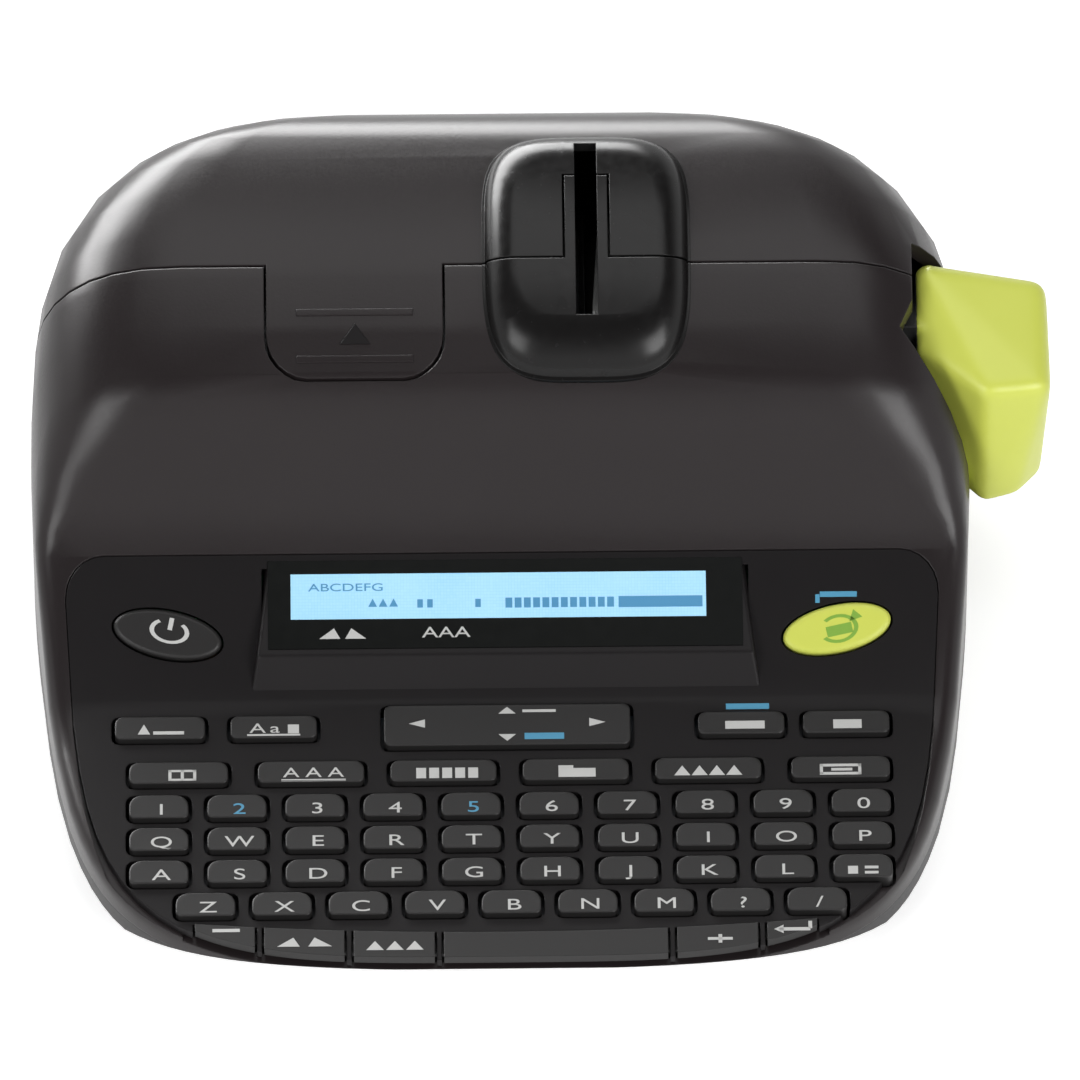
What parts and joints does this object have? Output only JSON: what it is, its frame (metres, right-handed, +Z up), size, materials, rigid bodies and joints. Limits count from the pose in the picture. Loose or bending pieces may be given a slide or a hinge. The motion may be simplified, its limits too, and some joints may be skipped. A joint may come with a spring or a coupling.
{
  "type": "label printer",
  "caption": "Desktop label printer with a sloping keyboard deck, raised display, domed tape housing with a hinged rear cover, slotted tape exit and a side lever that works the cutter.",
  "frame": {"origin": "centre of the bounding box's footprint, on the desk", "axes": "+X to the user's right, +Y to the back, +Z up"},
  "size_m": [0.166, 0.1486, 0.0702],
  "materials": {
    "case_shell": "fine-grained charcoal moulding",
    "lower_shell": "fine-grained dark moulding",
    "panel": "smooth black moulding",
    "hood": "polished dark moulding",
    "bezel": "polished black moulding",
    "window": "tinted clear window",
    "lcd": "lit liquid-crystal panel",
    "board": "solder-masked board",
    "mat": "moulded key mat",
    "keys": "black key moulding",
    "lime": "lime moulding",
    "steel": "bright steel",
    "chassis": "zinc-coated sheet",
    "gear": "natural acetal",
    "rubber": "dark rubber",
    "cartridge": "grey cassette moulding",
    "cell": "sleeved dry cell",
    "motor": "plated motor can"
  },
  "bodies": {
    "case": {"lower_case": "lower_shell", "upper_case": "case_shell", "front_panel": "panel", "display_bezel": "bezel", "display_window": "window", "lcd_module": "lcd", "display_board": "board", "key_mat": "mat", "main_board": "board", "chassis_plate": "chassis", "print_head": "motor", "feed_motor": "motor", "fixed_blade": "steel", "exit_hood_front": "hood", "tape_cartridge": "cartridge", "battery_cells": "cell", "battery_contacts": "steel", "dc_inlet": "bezel", "feet": "rubber", "case_screws": "steel", "lever_pin": "steel", "hinge_pins": "steel"},
    "rear_cover": {"rear_cover": "case_shell", "exit_hood_rear": "hood"},
    "battery_door": {"battery_door": "lower_shell"},
    "cutter_lever": {"cutter_lever": "lime"},
    "cutter_slide": {"cutter_slide": "gear", "moving_blade": "steel", "cutter_spring": "steel"},
    "platen": {"platen_roller": "rubber", "platen_shaft": "steel", "platen_gear": "gear"},
    "idler": {"idler_gear": "gear"},
    "pinion": {"motor_pinion": "gear"},
    "ribbon": {"ribbon_spindle": "gear", "ribbon_gear": "gear"},
    "power_button": {"power_button": "keys"},
    "print_button": {"print_button": "lime"},
    "cursor_pad": {"cursor_pad": "keys"},
    "upper_key_1": {"upper_key_1": "keys"},
    "upper_key_2": {"upper_key_2": "keys"},
    "upper_key_3": {"upper_key_3": "keys"},
    "upper_key_4": {"upper_key_4": "keys"},
    "wide_key_1": {"wide_key_1": "keys"},
    "wide_key_2": {"wide_key_2": "keys"},
    "wide_key_3": {"wide_key_3": "keys"},
    "wide_key_4": {"wide_key_4": "keys"},
    "wide_key_5": {"wide_key_5": "keys"},
    "wide_key_6": {"wide_key_6": "keys"},
    "number_row": {"number_row": "keys"},
    "upper_letter_row": {"upper_letter_row": "keys"},
    "home_letter_row": {"home_letter_row": "keys"},
    "lower_letter_row": {"lower_letter_row": "keys"},
    "front_key_1": {"front_key_1": "keys"},
    "front_key_2": {"front_key_2": "keys"},
    "front_key_3": {"front_key_3": "keys"},
    "front_key_4": {"front_key_4": "keys"},
    "front_key_5": {"front_key_5": "keys"},
    "front_key_6": {"front_key_6": "keys"}
  },
  "joints": [
    {"name": "cover_swing", "type": "hinge", "parent": "case", "child": "rear_cover", "pos_m": [-0.00655, 0.072, 0.0212], "axis": [-1, 0, 0], "range_deg": [0, 90]},
    {"name": "door_slide", "type": "slide", "parent": "case", "child": "battery_door", "axis": [0, -1, 0], "range_m": [0, 0.008]},
    {"name": "lever_squeeze", "type": "hinge", "parent": "case", "child": "cutter_lever", "pos_m": [0.06345, 0.0082, 0.03], "axis": [0, 0, 1], "range_deg": [0, 10], "stiffness_Nm_per_rad": 0.18},
    {"name": "cutter_push", "type": "slide", "parent": "case", "child": "cutter_slide", "axis": [-1, 0, 0], "range_m": [0, 0.00425], "deforming": ["cutter_spring"]},
    {"name": "platen_spin", "type": "hinge", "parent": "case", "child": "platen", "pos_m": [0.01265, 0.0272, 0.044], "axis": [0, 1, 0], "continuous": true},
    {"name": "idler_spin", "type": "hinge", "parent": "case", "child": "idler", "pos_m": [-0.00105, 0.0272, 0.03295], "axis": [0, 1, 0], "continuous": true},
    {"name": "pinion_spin", "type": "hinge", "parent": "case", "child": "pinion", "pos_m": [0.01161, 0.0272, 0.02796], "axis": [0, 1, 0], "continuous": true},
    {"name": "ribbon_spin", "type": "hinge", "parent": "case", "child": "ribbon", "pos_m": [-0.0185, 0.0272, 0.04094], "axis": [0, 1, 0], "continuous": true},
    {"name": "power_button_press", "type": "slide", "parent": "case", "child": "power_button", "axis": [0, 0.497, -0.8678], "range_m": [0, 0.0008], "stiffness_N_per_m": 300},
    {"name": "print_button_press", "type": "slide", "parent": "case", "child": "print_button", "axis": [0, 0.497, -0.8678], "range_m": [0, 0.0008], "stiffness_N_per_m": 300},
    {"name": "cursor_pad_press", "type": "slide", "parent": "case", "child": "cursor_pad", "axis": [0, 0.1011, -0.9949], "range_m": [0, 0.0008], "stiffness_N_per_m": 300},
    {"name": "upper_key_1_press", "type": "slide", "parent": "case", "child": "upper_key_1", "axis": [0, 0.1011, -0.9949], "range_m": [0, 0.0008], "stiffness_N_per_m": 300},
    {"name": "upper_key_2_press", "type": "slide", "parent": "case", "child": "upper_key_2", "axis": [0, 0.1011, -0.9949], "range_m": [0, 0.0008], "stiffness_N_per_m": 300},
    {"name": "upper_key_3_press", "type": "slide", "parent": "case", "child": "upper_key_3", "axis": [0, 0.1011, -0.9949], "range_m": [0, 0.0008], "stiffness_N_per_m": 300},
    {"name": "upper_key_4_press", "type": "slide", "parent": "case", "child": "upper_key_4", "axis": [0, 0.1011, -0.9949], "range_m": [0, 0.0008], "stiffness_N_per_m": 300},
    {"name": "wide_key_1_press", "type": "slide", "parent": "case", "child": "wide_key_1", "axis": [0, 0.1011, -0.9949], "range_m": [0, 0.0008], "stiffness_N_per_m": 300},
    {"name": "wide_key_2_press", "type": "slide", "parent": "case", "child": "wide_key_2", "axis": [0, 0.1011, -0.9949], "range_m": [0, 0.0008], "stiffness_N_per_m": 300},
    {"name": "wide_key_3_press", "type": "slide", "parent": "case", "child": "wide_key_3", "axis": [0, 0.1011, -0.9949], "range_m": [0, 0.0008], "stiffness_N_per_m": 300},
    {"name": "wide_key_4_press", "type": "slide", "parent": "case", "child": "wide_key_4", "axis": [0, 0.1011, -0.9949], "range_m": [0, 0.0008], "stiffness_N_per_m": 300},
    {"name": "wide_key_5_press", "type": "slide", "parent": "case", "child": "wide_key_5", "axis": [0, 0.1011, -0.9949], "range_m": [0, 0.0008], "stiffness_N_per_m": 300},
    {"name": "wide_key_6_press", "type": "slide", "parent": "case", "child": "wide_key_6", "axis": [0, 0.1011, -0.9949], "range_m": [0, 0.0008], "stiffness_N_per_m": 300},
    {"name": "number_row_press", "type": "slide", "parent": "case", "child": "number_row", "axis": [0, 0.1011, -0.9949], "range_m": [0, 0.0008], "stiffness_N_per_m": 300},
    {"name": "upper_letter_row_press", "type": "slide", "parent": "case", "child": "upper_letter_row", "axis": [0, 0.1011, -0.9949], "range_m": [0, 0.0008], "stiffness_N_per_m": 300},
    {"name": "home_letter_row_press", "type": "slide", "parent": "case", "child": "home_letter_row", "axis": [0, 0.1011, -0.9949], "range_m": [0, 0.0008], "stiffness_N_per_m": 300},
    {"name": "lower_letter_row_press", "type": "slide", "parent": "case", "child": "lower_letter_row", "axis": [0, 0.1011, -0.9949], "range_m": [0, 0.0008], "stiffness_N_per_m": 300},
    {"name": "front_key_1_press", "type": "slide", "parent": "case", "child": "front_key_1", "axis": [0, 0.1011, -0.9949], "range_m": [0, 0.0008], "stiffness_N_per_m": 300},
    {"name": "front_key_2_press", "type": "slide", "parent": "case", "child": "front_key_2", "axis": [0, 0.1011, -0.9949], "range_m": [0, 0.0008], "stiffness_N_per_m": 300},
    {"name": "front_key_3_press", "type": "slide", "parent": "case", "child": "front_key_3", "axis": [0, 0.1011, -0.9949], "range_m": [0, 0.0008], "stiffness_N_per_m": 300},
    {"name": "front_key_4_press", "type": "slide", "parent": "case", "child": "front_key_4", "axis": [0, 0.1011, -0.9949], "range_m": [0, 0.0008], "stiffness_N_per_m": 300},
    {"name": "front_key_5_press", "type": "slide", "parent": "case", "child": "front_key_5", "axis": [0, 0.1011, -0.9949], "range_m": [0, 0.0008], "stiffness_N_per_m": 300},
    {"name": "front_key_6_press", "type": "slide", "parent": "case", "child": "front_key_6", "axis": [0, 0.1011, -0.9949], "range_m": [0, 0.0008], "stiffness_N_per_m": 300}
  ],
  "couplings": [
    {"joint": "cutter_push", "follows": "lever_squeeze", "m_per_rad": 0.024},
    {"joint": "idler_spin", "follows": "platen_spin", "ratio": -0.83333},
    {"joint": "pinion_spin", "follows": "platen_spin", "ratio": 2},
    {"joint": "ribbon_spin", "follows": "platen_spin", "ratio": 0.83333}
  ]
}
